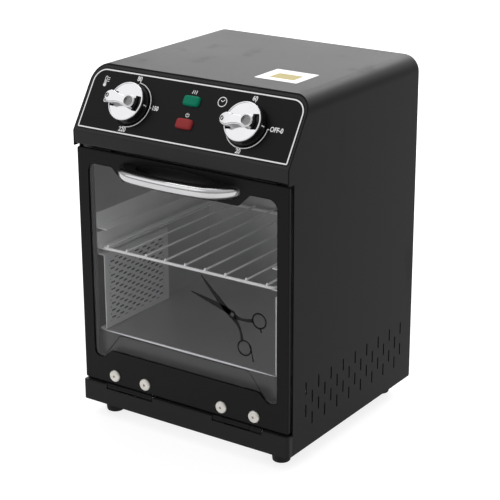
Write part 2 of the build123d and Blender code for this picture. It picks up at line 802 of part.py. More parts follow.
for side, name in ((-1, "temperature"), (1, "timer")):
    spot = (side * control_x, control_v)
    across = panel.x_dir.rotate(Axis((0, 0, 0), panel.z_dir), rest_turns[name])
    seat = Plane(panel.from_local_coords((*spot, 0)), x_dir=across, z_dir=panel.z_dir)
    with BuildPart() as knob:
        with BuildSketch(Plane(seat.origin, x_dir=seat.x_dir, z_dir=-seat.y_dir)):
            with BuildLine():
                Polyline(
                    (spindle_radius + 0.02, overlay_thick + bush_tall + seam),
                    (boss_radius, overlay_thick + bush_tall + seam),
                    (boss_radius, knob_web),
                    (knob_radius - knob_wall, knob_web),
                    (knob_radius - knob_wall, knob_lift),
                    (knob_radius, knob_lift),
                    (knob_radius - knob_draft, knob_tall),
                    (spindle_radius + 0.02, knob_tall),
                    close=True,
                )
            make_face()
        revolve(axis=Axis(seat.origin, seat.z_dir))
        with BuildSketch(seat.offset(knob_tall)):
            add(end_window(1, window_near, cap_radius - cap_lip))
            add(end_window(-1, window_near, cap_radius - cap_lip))
        extrude(amount=-(knob_tall - knob_web - 1.2), mode=Mode.SUBTRACT)
    knob.part.label = f"{name}_knob"
    export_step(knob.part, f"parts/{name}_knob.step")

    with BuildPart() as grip:
        with BuildSketch(seat.offset(knob_tall)):
            with BuildLine():
                half_grip = [
                    RadiusArc((-grip_tip, 0), (grip_middle - meet_x, meet_y), grip_wide),
                    RadiusArc((grip_middle - meet_x, meet_y), (grip_middle + meet_x, meet_y), -waist_radius),
                    RadiusArc((grip_middle + meet_x, meet_y), (grip_nose, 0), grip_wide),
                ]
                mirror(half_grip, about=Plane.XZ)
            make_face()
        extrude(amount=grip_rise - knob_tall + overrun)
        with BuildSketch(Plane(seat.origin, x_dir=seat.x_dir, z_dir=-seat.y_dir)):
            with BuildLine():
                tip_end = (-grip_tip - overrun, grip_rise)
                nose_end = (grip_nose + overrun, nose_rise)
                ThreePointArc(tip_end, (grip_middle, middle_rise), nose_end)
                Polyline(nose_end, (nose_end[0], 2 * grip_rise), (tip_end[0], 2 * grip_rise), tip_end)
            make_face()
        extrude(amount=cap_radius, both=True, mode=Mode.SUBTRACT)
        fillet(grip.faces().sort_by(panel_axis)[-1].edges(), radius=grip_round)
        with BuildSketch(seat.offset(knob_tall)):
            with Locations((-(window_near + grip_tip) / 2 - 1, 0)):
                Rectangle(grip_tip - window_near + 2, 2 * window_half)
        extrude(amount=grip_under - knob_tall, mode=Mode.SUBTRACT)
        with BuildSketch(seat.offset(grip_rise)):
            with Locations((grip_nose - grip_wide, 0)):
                Circle(inlay_radius)
        extrude(amount=inlay_high - grip_rise, mode=Mode.SUBTRACT)
        with BuildSketch(seat.offset(grip_rise)):
            with Locations((grip_round + mark_wide - grip_tip, 0)):
                SlotOverall(mark_long, mark_wide, rotation=90)
        extrude(amount=-mark_deep, mode=Mode.SUBTRACT)

    with BuildPart() as cap:
        with BuildSketch(seat.offset(knob_tall)):
            Circle(cap_radius)
        extrude(amount=cap_tall)
        fillet(cap.faces().sort_by(panel_axis)[-1].edges(), radius=cap_lip / 2)
        with BuildSketch(seat.offset(knob_tall + cap_tall)):
            Circle(cap_radius - cap_lip)
        extrude(amount=-cap_dish, mode=Mode.SUBTRACT)
        with BuildSketch(seat.offset(knob_tall)):
            add(end_window(1, window_near - grip_round, cap_radius - cap_lip))
            add(end_window(-1, window_near, cap_radius - cap_lip))
        extrude(amount=cap_tall, mode=Mode.SUBTRACT)
        add(grip.part)
    cap.part.label = f"{name}_knob_cap"
    export_step(cap.part, f"parts/{name}_knob_cap.step")

# ------------------------------------------------------------------ front frame and chamber liner
frame_y = front + chamber_front + liner_sheet
frame_low = strip_top + 4.5
frame_high = door_top + 2.0
frame_half = inner_half - 0.2
flange_half = chamber_half + 7.0
flange_low = glass_low + 0.5
flange_high = glass_high
heater_rises = (22.0, 57.0)   # the element's two legs above the chamber floor

with BuildPart() as front_frame:
    with BuildSketch(Plane.XZ.offset(-frame_y)):
        with Locations((0, (frame_low + frame_high) / 2)):
            Rectangle(2 * frame_half, frame_high - frame_low)
    extrude(amount=-lap)
    with BuildSketch(Plane.XZ.offset(-(frame_y + liner_sheet))):
        with Locations((0, (frame_low + frame_high) / 2)):
            Rectangle(2 * (frame_half - liner_sheet), frame_high - frame_low - 2 * liner_sheet)
    extrude(amount=-lap, mode=Mode.SUBTRACT)
    with BuildSketch(Plane.XZ.offset(-frame_y)):
        with Locations((0, (liner_low + liner_high) / 2)):
            Rectangle(
                2 * (chamber_half + liner_sheet + fit),
                liner_high - liner_low + 2 * (liner_sheet + fit),
            )
    extrude(amount=-lap, mode=Mode.SUBTRACT)
front_frame.part.label = "front_frame"
export_step(front_frame.part, "parts/front_frame.step")

liner_front = front + chamber_front
liner_back = front + chamber_back
with BuildPart() as chamber_liner:
    with BuildSketch(Plane.XZ.offset(-(liner_back + liner_sheet))):
        with Locations((0, (liner_low + liner_high) / 2)):
            Rectangle(2 * (chamber_half + liner_sheet), liner_high - liner_low + 2 * liner_sheet)
    extrude(amount=liner_back + liner_sheet - liner_front)
    with BuildSketch(Plane.XZ.offset(-(frame_y))):
        with Locations((0, (flange_low + flange_high) / 2)):
            Rectangle(2 * flange_half, flange_high - flange_low)
    extrude(amount=liner_sheet)
    with BuildSketch(Plane.XZ.offset(-liner_back)):
        with Locations((0, (liner_low + liner_high) / 2)):
            Rectangle(2 * chamber_half, liner_high - liner_low)
    extrude(amount=liner_back - liner_front, mode=Mode.SUBTRACT)
chamber_liner.part.label = "chamber_liner"
export_step(chamber_liner.part, "parts/chamber_liner.step")

seal_wide = 4.6
seal_inner = glass_half - seal_wide - 2.6
seal_low = flange_low + 0.6
seal_high = flange_high - 0.6
seal_front = glass_back + fit
with BuildPart() as door_seal:
    with BuildSketch(Plane.XZ.offset(-seal_front)):
        with Locations((0, (seal_low + seal_high) / 2)):
            RectangleRounded(2 * (seal_inner + seal_wide), seal_high - seal_low, 7.0)
            RectangleRounded(2 * seal_inner, seal_high - seal_low - 2 * seal_wide, 3.0, mode=Mode.SUBTRACT)
    extrude(amount=-(liner_front - seal_front))
door_seal.part.label = "door_seal"
export_step(door_seal.part, "parts/door_seal.step")

# ------------------------------------------------------------------ insulation and heat shield
wool_side = 10.0
wool_front = frame_y + lap + fit
wool_back = liner_back + liner_sheet + fit + 12.0
wool_low = liner_low - liner_sheet - fit - wool_side
wool_high = liner_high + liner_sheet + fit + 13.0
with BuildPart() as insulation:
    with BuildSketch(Plane.XZ.offset(-wool_back)):
        with Locations((0, (wool_low + wool_high) / 2)):
            Rectangle(2 * (chamber_half + liner_sheet + fit + wool_side), wool_high - wool_low)
    extrude(amount=wool_back - wool_front)
    with BuildSketch(Plane.XZ.offset(-(liner_back + liner_sheet + fit))):
        with Locations((0, (liner_low + liner_high) / 2)):
            Rectangle(2 * (chamber_half + liner_sheet + fit), liner_high - liner_low + 2 * (liner_sheet + fit))
    extrude(amount=case_depth, mode=Mode.SUBTRACT)
insulation.part.label = "insulation"
export_step(insulation.part, "parts/insulation.step")

shield_z = wool_high + fit
shield_lip = 10.0
with BuildPart() as heat_shield:
    with BuildSketch(Plane.XZ.offset(-wool_back)):
        edge = inner_half - 0.2
        add(
            folded(
                [(-edge, shield_z + shield_lip), (-edge, shield_z), (edge, shield_z), (edge, shield_z + shield_lip)],
                fold,
            )
        )
    extrude(amount=wool_back - wool_front)
heat_shield.part.label = "heat_shield"
export_step(heat_shield.part, "parts/heat_shield.step")

# ------------------------------------------------------------------ heaters and their perforated guards
guard_depth = 8.0             # guard face to the chamber wall
guard_half = chamber_half - guard_depth
guard_set = 12.5              # fascia face to the guard
guard_length = 99.5
guard_rise = 77.0
guard_front = front + guard_set
guard_back = guard_front + guard_length
guard_high = liner_low + guard_rise
slot_long = 7.0
slot_wide = 2.0
slot_pitch = 12.6
slot_row = 7.2
slot_columns = 7
slot_rows = 9
heater_radius = 2.75
heater_x = (guard_half + liner_sheet + chamber_half) / 2
heater_bend = 12.0
heater_front = guard_front + 14.0
heater_back = guard_back - guard_depth
heater_flange = 2.0

for side, name in ((-1, "left"), (1, "right")):
    with BuildPart() as guard:
        with BuildSketch(Plane.XZ.offset(-guard_back)):
            add(
                folded(
                    [
                        (chamber_half, guard_high),
                        (guard_half, guard_high),
                        (guard_half, liner_low),
                        (chamber_half, liner_low),
                    ],
                    fold,
                    liner_sheet,
                )
            )
            if side < 0:
                mirror(about=Plane.YZ, mode=Mode.REPLACE)
        extrude(amount=guard_back - guard_front)
        middle_y = (guard_front + guard_back) / 2
        middle_z = (liner_low + guard_high) / 2
        with BuildSketch(Plane.YZ):
            with Locations((middle_y, middle_z)):
                with GridLocations(slot_pitch, slot_row, slot_columns, slot_rows):
                    Rectangle(slot_long, slot_wide)
        extrude(amount=side * (guard_half + fold), mode=Mode.SUBTRACT)
    guard.part.label = f"{name}_heater_guard"
    export_step(guard.part, f"parts/{name}_heater_guard.step")

    with BuildPart() as heater:
        with BuildLine(Plane.YZ.offset(side * heater_x)) as element:
            FilletPolyline(
                (heater_back, liner_low + heater_rises[0]),
                (heater_front, liner_low + heater_rises[0]),
                (heater_front, liner_low + heater_rises[1]),
                (heater_back, liner_low + heater_rises[1]),
                radius=heater_bend,
            )
        with BuildSketch(Plane(element.line @ 0, z_dir=element.line % 0)):
            Circle(heater_radius)
        sweep()
        with BuildSketch(Plane.XZ.offset(-heater_back)):
            with Locations((side * chamber_half, liner_low + sum(heater_rises) / 2)):
                Rectangle(
                    chamber_half - guard_half - liner_sheet - fit,
                    heater_rises[1] - heater_rises[0] + lap,
                    align=(Align.MAX if side > 0 else Align.MIN, Align.CENTER),
                )
        extrude(amount=-heater_flange)
    heater.part.label = f"{name}_heater"
    export_step(heater.part, f"parts/{name}_heater.step")

# ------------------------------------------------------------------ rack runners and wire rack
runner_reach = 12.0
runner_leg = 16.0
runner_step = 20.0
rail_radius = 1.5
wire_radius = 1.0
rack_z = floor_z + rack_rise
runner_top = rack_z - rail_radius - fit
runner_front = guard_front
runner_back = liner_back - 2.0

for side, name in ((-1, "left"), (1, "right")):
    with BuildPart() as runners:
        with BuildSketch(Plane.XZ.offset(-runner_back)):
            for level in (0, 1):
                low = runner_top - liner_sheet + level * runner_step
                add(
                    folded(
                        [(chamber_half - runner_reach, low), (chamber_half, low), (chamber_half, low + runner_leg)],
                        fold,
                        liner_sheet,
                    )
                )
            if side < 0:
                mirror(about=Plane.YZ, mode=Mode.REPLACE)
        extrude(amount=runner_back - runner_front)
    runners.part.label = f"{name}_rack_runners"
    export_step(runners.part, f"parts/{name}_rack_runners.step")

rack_half = chamber_half - 8.0
rack_front = front + 10.6
rack_back = liner_back - 5.5
rack_corner = 5.0
rack_wires = 9
rack_pitch = 2 * (rack_half - 7.2) / (rack_wires - 1)
wire_stub = 1.9
wire_z = rack_z + rail_radius + wire_radius - 0.15
with BuildPart() as wire_rack:
    with BuildLine(Plane.XY.offset(rack_z)) as rail:
        FilletPolyline(
            (rack_half, rack_front),
            (rack_half, rack_back),
            (-rack_half, rack_back),
            (-rack_half, rack_front),
            radius=rack_corner,
            close=True,
        )
    with BuildSketch(Plane(rail.line @ 0, z_dir=rail.line % 0)):
        Circle(rail_radius)
    sweep()
    with BuildSketch(Plane.XZ.offset(-(rack_back + wire_stub))):
        with Locations((0, wire_z)):
            with GridLocations(rack_pitch, 1, rack_wires, 1):
                Circle(wire_radius)
    extrude(amount=rack_back - rack_front + 2 * wire_stub)
wire_rack.part.label = "wire_rack"
export_step(wire_rack.part, "parts/wire_rack.step")

# ------------------------------------------------------------------ door magnets
magnet_x = chamber_half - 14.0
magnet_wide = 22.0
magnet_low = flange_high + fit
with BuildPart() as door_magnets:
    with BuildSketch(Plane.XZ.offset(-frame_y)):
        with Locations((-magnet_x, magnet_low), (magnet_x, magnet_low)):
            Rectangle(magnet_wide, 4.2, align=(Align.CENTER, Align.MIN))
    extrude(amount=frame_y - door_y - door_return - seam)
door_magnets.part.label = "door_magnets"
export_step(door_magnets.part, "parts/door_magnets.step")

# ------------------------------------------------------------------ wiring pieces on the heat shield
shield_top = shield_z + sheet
block_long = 64.0
block_wide = 18.0
block_tall = 12.0
block_pitch = 10.0
block_rows = 9.0
clamp_radius = 2.2
clamp_deep = 5.0
block_set = 76.0              # back of the case to the block
cutout_long = 32.0
cutout_radius = 8.0
cutout_tab = 0.8
cutout_tall = 9.0
cutout_set = 106.0
blade_wide = 6.3
blade_tall = 7.0
wiring_x = 40.0
block_spot = (wiring_x, back - block_set)
cutout_spot = (-wiring_x, back - cutout_set)
with BuildPart() as terminal_block:
    with BuildSketch(Plane.XY.offset(shield_top)):
        with Locations(block_spot):
            Rectangle(block_long, block_wide)
    extrude(amount=block_tall)
    with BuildSketch(Plane.XY.offset(shield_top + block_tall)):
        with Locations(block_spot):
            with GridLocations(block_pitch, block_rows, 6, 2):
                Circle(clamp_radius)
    extrude(amount=-clamp_deep, mode=Mode.SUBTRACT)
terminal_block.part.label = "terminal_block"
export_step(terminal_block.part, "parts/terminal_block.step")

with BuildPart() as thermal_cutout:
    with BuildSketch(Plane.XY.offset(shield_top)):
        with Locations(cutout_spot):
            SlotOverall(cutout_long, 2 * cutout_radius)
    extrude(amount=cutout_tab)
    with BuildSketch(Plane.XY.offset(shield_top)):
        with Locations(cutout_spot):
            Circle(cutout_radius)
    extrude(amount=cutout_tall)
    with BuildSketch(Plane.XY.offset(shield_top + cutout_tall)):
        with Locations(cutout_spot):
            with GridLocations(cutout_radius, sheet, 2, 1):
                Rectangle(cutout_tab, blade_wide)
    extrude(amount=blade_tall)
thermal_cutout.part.label = "thermal_cutout"
export_step(thermal_cutout.part, "parts/thermal_cutout.step")
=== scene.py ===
"""Looks of the dry heat sterilizer: its finishes, its printed marks and its small applied pieces."""

from math import cos, pi, radians, sin

import bmesh
import bpy
import numpy as np
from mathutils import Matrix, Vector


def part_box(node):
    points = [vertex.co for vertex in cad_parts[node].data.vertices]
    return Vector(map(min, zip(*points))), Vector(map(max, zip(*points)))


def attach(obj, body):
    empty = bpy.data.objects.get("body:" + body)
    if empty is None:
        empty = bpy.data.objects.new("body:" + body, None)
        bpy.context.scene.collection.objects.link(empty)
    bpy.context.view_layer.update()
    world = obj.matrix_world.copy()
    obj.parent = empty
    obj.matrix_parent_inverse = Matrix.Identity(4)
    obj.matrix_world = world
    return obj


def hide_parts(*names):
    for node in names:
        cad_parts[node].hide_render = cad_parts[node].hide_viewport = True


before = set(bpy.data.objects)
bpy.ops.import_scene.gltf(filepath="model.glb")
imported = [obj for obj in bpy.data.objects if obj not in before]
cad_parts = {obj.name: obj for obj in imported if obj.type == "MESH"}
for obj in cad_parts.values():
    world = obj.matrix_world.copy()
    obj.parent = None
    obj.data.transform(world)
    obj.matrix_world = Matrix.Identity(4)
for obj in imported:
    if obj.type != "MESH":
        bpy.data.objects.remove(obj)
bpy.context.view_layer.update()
scene = bpy.context.scene
scene.view_settings.view_transform = "Standard"


# ---------------------------------------- camera
# A long lens, a little above the object and to its right, aimed at the middle of its height. It
# stands on a sphere about that point, so two angles and a distance place it.
def box_mm(name):
    """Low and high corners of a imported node's box, in mm."""
    return [corner * 1000 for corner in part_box(name)]


front = box_mm("control_fascia")[0].y          # plane of the fascia, which the case and its slope start from
azimuth, elevation, roll = radians(34.48), radians(19.60), radians(-0.21)
distance = 1.5263                              # in m, as are the two sizes under it
sight_behind_front, sight_height = 0.10805, 0.1621
sight = Vector((0.0049, front / 1000 + sight_behind_front, sight_height))
camera_data = bpy.data.cameras.new("camera")
camera_data.sensor_width = 36.0
camera_data.lens = 113.58
camera = bpy.data.objects.new("camera", camera_data)
scene.collection.objects.link(camera)
ahead = Vector((-sin(azimuth) * cos(elevation), cos(azimuth) * cos(elevation), -sin(elevation)))
across = Vector((cos(azimuth), sin(azimuth), 0.0))
above = across.cross(ahead)
right = across * cos(roll) + above * sin(roll)
up = above * cos(roll) - across * sin(roll)
stance = Matrix((right, up, -ahead)).transposed().to_4x4()
camera.matrix_world = Matrix.Translation(sight - ahead * distance) @ stance
scene.camera = camera


# ---------------------------------------- studio
# White room: an even sky, a large softbox in front and above, a larger one behind that skims the
# top, a small bright one that lights the bend of the top, and a white floor that keeps the shadow.
class Value:
    """A shader socket that takes part in plain arithmetic: each operator adds its Math node."""

    def __init__(self, finish, socket):
        self.finish, self.socket = finish, socket

    def _math(self, operation, *values):
        return self.finish.node("ShaderNodeMath", {"operation": operation}, *values)

    def __add__(self, other):
        return self._math("ADD", self, other)

    __radd__ = __add__

    def __sub__(self, other):
        return self._math("SUBTRACT", self, other)

    def __rsub__(self, other):
        return self._math("SUBTRACT", other, self)

    def __mul__(self, other):
        return self._math("MULTIPLY", self, other)

    __rmul__ = __mul__

    def __lt__(self, other):
        return self._math("LESS_THAN", self, other)

    def __gt__(self, other):
        return self._math("GREATER_THAN", self, other)

    def larger(self, other):
        return self._math("MAXIMUM", self, other)

    def size(self):
        return self._math("ABSOLUTE", self)

    def part(self):
        """What is left over a whole number."""
        return self._math("FRACT", self)

    def clamp(self):
        return self.finish.node("ShaderNodeClamp", {}, self)


class Finish:
    """A material, or the world, under construction. node() adds any node and returns one output."""

    def __init__(self, owner, output="ShaderNodeOutputMaterial"):
        owner.use_nodes = True
        self.material, self.tree = owner, owner.node_tree
        self.tree.nodes.clear()
        self.output = self.tree.nodes.new(output)

    def node(self, kind, settings, *values, out=0, **named):
        made = self.tree.nodes.new(kind)
        for key, value in settings.items():
            setattr(made, key, value)
        sockets = dict(enumerate(values)) | {key.replace("_", " "): value for key, value in named.items()}
        for key, value in sockets.items():
            socket = made.inputs[key]
            if isinstance(value, Value):
                self.tree.links.new(value.socket, socket)
            elif value is not None:
                socket.default_value = (*value, 1.0) if socket.type == "RGBA" else value
        return Value(self, made.outputs[out])

    def rays(self):
        """Whether a ray comes from the camera, off a glossy surface or through glass, each as 0 or 1."""
        kinds = ("Is Camera Ray", "Is Glossy Ray", "Is Transmission Ray")
        return [self.node("ShaderNodeLightPath", {}, out=kind) for kind in kinds]

    def place(self, stretch=(1.0, 1.0, 1.0)):
        """Object coordinates, stretched along each axis."""
        spot = self.node("ShaderNodeTexCoord", {}, out="Object")
        return self.node("ShaderNodeMapping", {}, spot, Scale=stretch)

    def spot(self):
        """Object coordinates as three values, in mm."""
        spot = self.node("ShaderNodeTexCoord", {}, out="Object")
        return [self.node("ShaderNodeSeparateXYZ", {}, spot, out=axis) * 1000 for axis in "XYZ"]

    def noise(self, scale, detail=2.0, stretch=(1.0, 1.0, 1.0)):
        return self.node("ShaderNodeTexNoise", {}, self.place(stretch), Scale=scale, Detail=detail)

    def spread(self, value, low, high):
        """0 where value is under low, 1 over high, and even between them."""
        return ((value - low) * (1.0 / (high - low))).clamp()

    def mix(self, share, first, second):
        """Colour that goes from first to second with share. Five sockets lie between, for plain numbers."""
        unused = [None] * 5
        return self.node("ShaderNodeMix", {"data_type": "RGBA"}, share, *unused, first, second, out=2)

    def bump(self, height, distance, strength=1.0, **named):
        return self.node(
            "ShaderNodeBump", {}, Height=height, Distance=distance, Strength=strength, **named
        )

    def join(self, shader):
        self.tree.links.new(shader.socket, self.output.inputs["Surface"])

    def surface(self, **named):
        """Principled surface with the named sockets, joined to the output."""
        self.join(self.node("ShaderNodeBsdfPrincipled", {}, **named))


def finish(name):
    return Finish(bpy.data.materials.new(name))


plain_light = 0.75                             # what the sky gives to matt surfaces
horizon_gloss, zenith_gloss = 0.34, 0.72       # what shiny surfaces see of it
white = (1.0, 1.0, 1.0)
scene.world = bpy.data.worlds.new("studio")
room = Finish(scene.world, "ShaderNodeOutputWorld")
camera_ray, gloss_ray, clear_ray = room.rays()
way_out = room.node("ShaderNodeTexCoord", {}, out="Generated")
climb = room.node("ShaderNodeSeparateXYZ", {}, way_out, out="Z")
dome = horizon_gloss + (zenith_gloss - horizon_gloss) * climb.clamp()
seen = camera_ray.larger(clear_ray)
glow = plain_light + (1.0 - plain_light) * seen + gloss_ray * (dome - plain_light)
room.join(room.node("ShaderNodeBackground", {}, Color=white, Strength=glow))

object_middle = Vector((0.0, 0.0, 0.17))


def softbox(name, place, size, radiance):
    """Square area light turned to the object's middle. Its power is four times its area and radiance."""
    data = bpy.data.lights.new(name, "AREA")
    data.shape, data.size, data.energy = "SQUARE", size, radiance * 4 * size**2
    lamp = bpy.data.objects.new(name, data)
    scene.collection.objects.link(lamp)
    turn = (object_middle - Vector(place)).to_track_quat("-Z", "Y")
    lamp.matrix_world = Matrix.Translation(place) @ turn.to_matrix().to_4x4()
    lamp.visible_camera = False


softbox("front_softbox", (-1.7, -1.5, 2.4), 2.8, 0.50)
softbox("back_softbox", (-0.45, 2.5, 1.65), 3.9, 1.9)
softbox("rim_softbox", (-0.35, 2.5, 2.0), 1.3, 3.2)

floor_reach = 8.0
floor_shade = (0.32, 0.32, 0.32)
floor_glow, floor_gloss = 0.80, 0.62           # what a look at the floor adds, and what shiny surfaces see
span = np.array([-floor_reach, floor_reach])
floor_points = np.stack(np.meshgrid(span, span), -1).reshape(-1, 2)
floor_mesh = bpy.data.meshes.new("floor")
floor_mesh.from_pydata(np.pad(floor_points, ((0, 0), (0, 1))), [], [(0, 1, 3, 2)])
floor = bpy.data.objects.new("floor", floor_mesh)
scene.collection.objects.link(floor)
paper = finish("floor_white")
camera_ray, gloss_ray, clear_ray = paper.rays()
paper.surface(
    Base_Color=floor_shade,
    Roughness=0.9,
    Emission_Color=white,
    Emission_Strength=camera_ray.larger(clear_ray) * floor_glow + gloss_ray * floor_gloss,
)
floor_mesh.materials.append(paper.material)


# ---------------------------------------- base pan, feet and their screws
# The pan is galvanised sheet with a dull spangle, as are the heat shield and the housings of the
# thermostat and timer. The feet are moulded rubber, held by zinc-plated screws.
def wear(made, *names):
    """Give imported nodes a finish."""
    for name in names:
        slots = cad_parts[name].data.materials
        slots.clear()
        slots.append(made.material)


spangle = finish("galvanised_sheet")
crystal = spangle.node("ShaderNodeTexVoronoi", {"feature": "F1"}, spangle.place(), Scale=160.0, out="Color")
flake = spangle.node("ShaderNodeSeparateColor", {}, crystal)
spangle.surface(
    Base_Color=spangle.mix(flake, (0.36, 0.37, 0.38), (0.52, 0.53, 0.54)),
    Metallic=0.85,
    Roughness=0.32 + 0.16 * flake,
    Normal=spangle.bump(spangle.noise(500.0), 0.00003, 0.3),
)
wear(spangle, "base_pan", "heat_shield", "thermostat", "timer")

rubber = finish("moulded_rubber")
pebble = rubber.noise(1100.0, 3.0)
rubber.surface(
    Base_Color=rubber.mix(rubber.noise(90.0), (0.007, 0.007, 0.007), (0.014, 0.0135, 0.013)),
    Roughness=0.55 + 0.2 * pebble,
    Specular_IOR_Level=0.25,
    Normal=rubber.bump(pebble, 0.00005, 0.6),
)
wear(rubber, "feet")

plated = finish("zinc_plate")
plating = plated.noise(700.0, 3.0)
plated.surface(
    Base_Color=plated.mix(plated.noise(240.0), (0.70, 0.67, 0.62), (0.84, 0.82, 0.78)),
    Metallic=0.72,
    Roughness=0.34 + 0.16 * plating,
    Normal=plated.bump(plating, 0.00002, 0.3),
)
wear(plated, "foot_screws", "back_screws", "handle_screws", "hinge_screws", "glass_clips")
wear(plated, "left_hinge_pin", "right_hinge_pin", "thermostat_spindle", "timer_spindle")

# ---------------------------------------- case, fascia, base strip, door frame, hinges
# Folded steel sheet with a satin black powder coat. The coat has a fine pebbled skin, faint clouds
# in its gloss and a few dull rubs from handling. The case, fascia, base strip and door are lit and
# shaded copies of the one coat, each with its own colour and shine: the fascia and strip are painted
# paler as light, the case and door darker as shade.
hinge_plates = ("left_hinge_bracket", "right_hinge_bracket", "left_hinge_leaf", "right_hinge_leaf")
# dark, pale and shine per part are painted light and shade on one coat.
for name, dark, pale, shine, worn in (
    ("case", (0.0085, 0.0082, 0.0088), (0.0125, 0.0121, 0.0127), 0.065, ("case_shell", "back_panel")),
    ("fascia", (0.0275, 0.0265, 0.0275), (0.0345, 0.0332, 0.0347), 0.13, ("control_fascia",)),
    ("strip", (0.0145, 0.0135, 0.0145), (0.0190, 0.0180, 0.0190), 0.13, ("base_strip",)),
    ("door", (0.0060, 0.0057, 0.0062), (0.0090, 0.0087, 0.0092), 0.12, ("door_frame", *hinge_plates)),
):
    powder = finish(f"black_powder_{name}")
    skin = powder.noise(1500.0, 3.0)
    cloud = powder.noise(11.0, 3.0)
    rub = powder.spread(powder.noise(34.0, 5.0, (1.0, 1.0, 0.35)), 0.60, 0.72)
    powder.surface(
        Base_Color=powder.mix(cloud, dark, pale),
        Roughness=0.33 + 0.08 * skin + 0.06 * cloud + 0.05 * rub,
        Specular_IOR_Level=shine,
        Normal=powder.bump(skin, 0.00004, 0.5),
    )
    wear(powder, *worn)

# ---------------------------------------- chamber: liner, front frame, guards, runners
# Rolled stainless sheet, bent and spot-welded. The grain runs front to back, and heat has left faint
# stains on it. The parts are lit and shaded copies of the steel: the front frame is painted dark as
# shade, the guards and runners pale and less metallic as painted light. On the liner, the heater
# niches behind the guards and the front flange are darkened as painted shade.
liner_low, liner_high = box_mm("chamber_liner")
guard_low, guard_high = box_mm("left_heater_guard")
guard_middle = (guard_low + guard_high) / 2
niche_start = 105.5                            # the heater niches lie further than this from the middle
flange_deep = 1.2                              # front flange of the liner
hole_pitch, hole_half = (12.6, 7.2), (3.4, 1.25)                # in mm, along the wall and up it
holed_half = (43.0, 32.5)                      # half of the field of holes
# Per part, the front frame's colours are painted shade, the guard's and runner's painted light.
for name, dark, pale, metal, dull, worn in (
    ("liner", (0.40, 0.40, 0.405), (0.58, 0.58, 0.585), 0.85, 0.22, ("chamber_liner",)),
    ("front_frame", (0.13, 0.13, 0.132), (0.20, 0.20, 0.20), 0.80, 0.34, ("front_frame",)),
    (
        "guard", (0.76, 0.76, 0.765), (0.92, 0.92, 0.92), 0.35, 0.34,
        ("left_heater_guard", "right_heater_guard"),
    ),
    (
        "runner", (0.84, 0.84, 0.84), (0.96, 0.96, 0.96), 0.25, 0.26,
        ("left_rack_runners", "right_rack_runners"),
    ),
):
    steel = finish(f"stainless_{name}")
    grain = steel.noise(420.0, 4.0, (1.0, 0.03, 1.0))
    stain = steel.noise(13.0, 4.0)
    shade = steel.mix(stain, dark, pale)
    cut = {}
    if name == "liner":
        # Painted shade: the wall in the heater niches behind the guards, and the front flange, are darkened.
        x, y, z = steel.spot()
        near_heater = (x.size() > niche_start) * (z < guard_high.z) * (y < guard_high.y)
        shade = steel.mix(near_heater, shade, (0.035, 0.034, 0.033))
        shade = steel.mix(y < liner_low.y + flange_deep, shade, (0.060, 0.060, 0.061))
    if name == "guard":
        # Every second hole of the staggered rows is open in the sheet's alpha, between the cut slots.
        x, y, z = steel.spot()
        beside, over = y - guard_middle.y, z - guard_middle.z
        along = ((beside * (1 / hole_pitch[0])).part() - 0.5) * (hole_pitch[0] / hole_half[0])
        upward = ((over * (1 / hole_pitch[1])).part() - 0.5) * (hole_pitch[1] / hole_half[1])
        hole = along * along + upward * upward < 1.0
        cut["Alpha"] = 1.0 - hole * (beside.size() < holed_half[0]) * (over.size() < holed_half[1])
    steel.surface(
        Base_Color=shade,
        Metallic=metal,
        Roughness=dull + 0.18 * grain + 0.06 * stain,
        Normal=steel.bump(grain, 0.00002, 0.5),
        **cut,
    )
    wear(steel, *worn)

# ---------------------------------------- heaters
# Tubular elements in a steel sheath behind the guards. Heat has tinted the sheath straw in some
# places and blue-grey in others.
sheath = finish("heat_tinted_sheath")
tint = sheath.noise(60.0, 3.0)
sheath.surface(
    Base_Color=sheath.mix(tint, (0.20, 0.165, 0.12), (0.16, 0.17, 0.20)),
    Metallic=0.7,
    Roughness=0.38 + 0.2 * sheath.noise(500.0),
)
wear(sheath, "left_heater", "right_heater")

# ---------------------------------------- wire rack and its wire ends
# Drawn steel wires resistance-welded over a closed rail, then bright plated. The wires are given a
# near-white, barely metallic colour, a painted highlight for the light they catch. Each wire ends in
# a small bead at the rail in the same white, which paints the glint on the wire ends.
painted_bright_wire = finish("painted_bright_wire")
draw_marks = painted_bright_wire.noise(600.0, 2.0, (1.0, 0.05, 1.0))
painted_bright_wire.surface(
    Base_Color=painted_bright_wire.mix(painted_bright_wire.noise(120.0), (0.94, 0.94, 0.94), (1.0, 1.0, 1.0)),
    Metallic=0.12,
    Roughness=0.16 + 0.12 * draw_marks,
)
wear(painted_bright_wire, "wire_rack")


def sheet_mesh(name, points, faces):
    """Mesh from points in metres, with doubles merged and faces turned outwards."""
    made = bpy.data.meshes.new(name)
    made.from_pydata(points, [], faces)
    shape = bmesh.new()
    shape.from_mesh(made)
    bmesh.ops.remove_doubles(shape, verts=shape.verts, dist=1e-7)
    bmesh.ops.recalc_face_normals(shape, faces=shape.faces)
    shape.to_mesh(made)
    shape.free()
    return made


def fix(name, made, look, body):
    """Object for a finished mesh, dressed and riding on its body."""
    made.materials.append(look.material)
    piece = bpy.data.objects.new(name, made)
    scene.collection.objects.link(piece)
    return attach(piece, body)


def grid_faces(rows, columns):
    """Four-sided faces of a grid of points that are numbered row by row."""
    row, column = np.arange(rows - 1)[:, None] * columns, np.arange(columns - 1)
    first = row + column
    return np.stack([first, first + 1, first + columns + 1, first + columns], -1).reshape(-1, 4)


